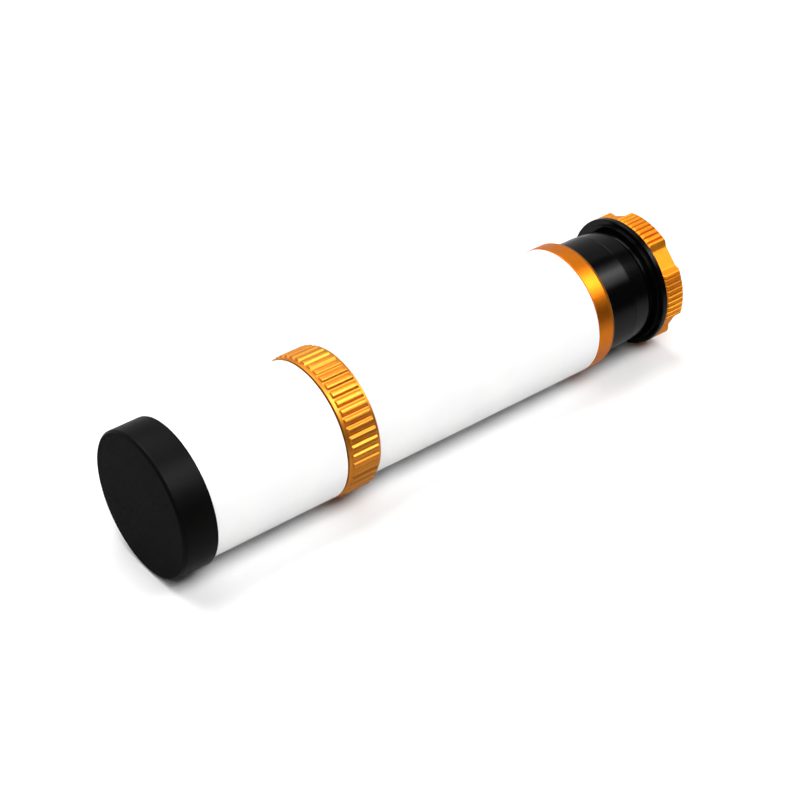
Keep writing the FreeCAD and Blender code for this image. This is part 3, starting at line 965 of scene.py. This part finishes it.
def make_long_softbox(name, low, high, distance, radiance):
    """A softbox parallel to the tube on the -Y side, between two elevations in degrees."""
    start, end = SOFTBOX_ENDS
    elevation = math.radians((low + high) / 2)
    away = Vector((0, -math.cos(elevation), math.sin(elevation)))
    width = 2 * distance * math.tan(math.radians((high - low) / 2))
    size = (end - start, width)
    return make_softbox(name, away, distance, size, radiance, (start + end) / 2)


def make_key():
    """The long key softbox: a graded one for reflections, and a plain one to light surfaces."""
    low, high = KEY_FALL[0][0], KEY_FALL[-1][0]
    peak = max(level for _, level in KEY_FALL)
    light = make_long_softbox("key_softbox", low, high, KEY_DISTANCE, peak)
    light.visible_diffuse = False
    across = []
    for angle, level in KEY_FALL:
        offset = KEY_DISTANCE * math.tan(math.radians(angle - (low + high) / 2))
        across.append((0.5 + offset / light.data.size_y, level / peak))
    light.data.use_nodes = True
    graded = Nodes(light.data.node_tree)
    geometry = graded.add("NewGeometry")
    spot = graded.add("SeparateXYZ", {0: geometry.outputs["Parametric"]})
    level = graded.math("MULTIPLY", graded.ramp(spot.outputs["Y"], across),
                        graded.ramp(spot.outputs["X"], KEY_ALONG))
    graded.fill(graded.nodes["Emission"].inputs["Strength"], level)
    light = make_long_softbox("key_diffuse", *KEY_DIFFUSE_SPAN, KEY_DIFFUSE_DISTANCE,
                              KEY_DIFFUSE_RADIANCE)
    light.visible_glossy = False


def make_fill():
    """A square softbox high above, a little to the +Y side, which throws the shadows to -Y."""
    away = Vector((-0.1, 0.35, 0.8)).normalized()
    make_softbox("fill_softbox", away, distance=1.3, size=(1.0, 1.0), radiance=5.4)


# Brightness of the studio round the tube, by elevation in degrees: 0 is level on the -Y
# side, 90 straight up, 180 level on the +Y side.
STUDIO = [
    (-180, 0.55),
    (-90, 0.40),
    (-30, 0.05),
    (0, 0.02),
    (36, 0.03),
    (60, 0.08),
    (97, 0.08),
    (104, 0.46),
    (150, 0.50),
    (180, 0.55),
]


def make_world():
    """A pale studio that runs along the tube, dim on the -Y side, plain white to the camera."""
    world = bpy.data.worlds.new("studio")
    bpy.context.scene.world = world
    world.use_nodes = True
    studio = Nodes(world.node_tree)
    studio.nodes.clear()
    direction = studio.add("SeparateXYZ", {0: studio.add("TexCoord").outputs["Generated"]})
    forward = studio.math("MULTIPLY", direction.outputs["Y"], -1)
    elevation = studio.math("ARCTAN2", direction.outputs["Z"], forward)
    share = studio.remap(elevation, -math.pi, math.pi, 0, 1)
    levels = [((angle + 180) / 360, level) for angle, level in STUDIO]
    dome = studio.add("Background", {"Color": studio.ramp(share, levels)})
    plain = studio.add("Background", {"Color": WHITE})
    path = studio.add("LightPath")
    sockets = {0: path.outputs["Is Camera Ray"], 1: dome.outputs[0], 2: plain.outputs[0]}
    mix = studio.add("MixShader", sockets)
    studio.add("OutputWorld", {"Surface": mix.outputs[0]})


def make_camera():
    """Above and in front of the cap, on the -Y side, with a long portrait lens."""
    data = bpy.data.cameras.new("camera")
    data.lens = 93
    data.sensor_width = 36
    camera = bpy.data.objects.new("camera", data)
    bpy.context.scene.collection.objects.link(camera)
    camera.location = (-0.4558, -0.5714, 0.5722)
    forward = Vector((0.4956, 0.6270, -0.6010))
    camera.rotation_mode = "QUATERNION"
    camera.rotation_quaternion = forward.to_track_quat("-Z", "Y")
    bpy.context.scene.camera = camera


make_camera()
make_cap()
make_painted_tube("dew_shield_tube", "dew_shield", wall=1.8 * MM, rear_gap=0.25 * MM)
make_lock_ring()
make_focus_sleeve()
make_painted_tube("main_tube_shell", "main_tube", wall=TUBE_WALL)
make_end_ring()
make_barrel()
make_extension()
make_holder()
make_clamp_ring()
make_lenses()
dress_cad_nodes()
make_floor()
make_key()
make_fill()
make_world()
bpy.context.scene.view_settings.view_transform = "Standard"
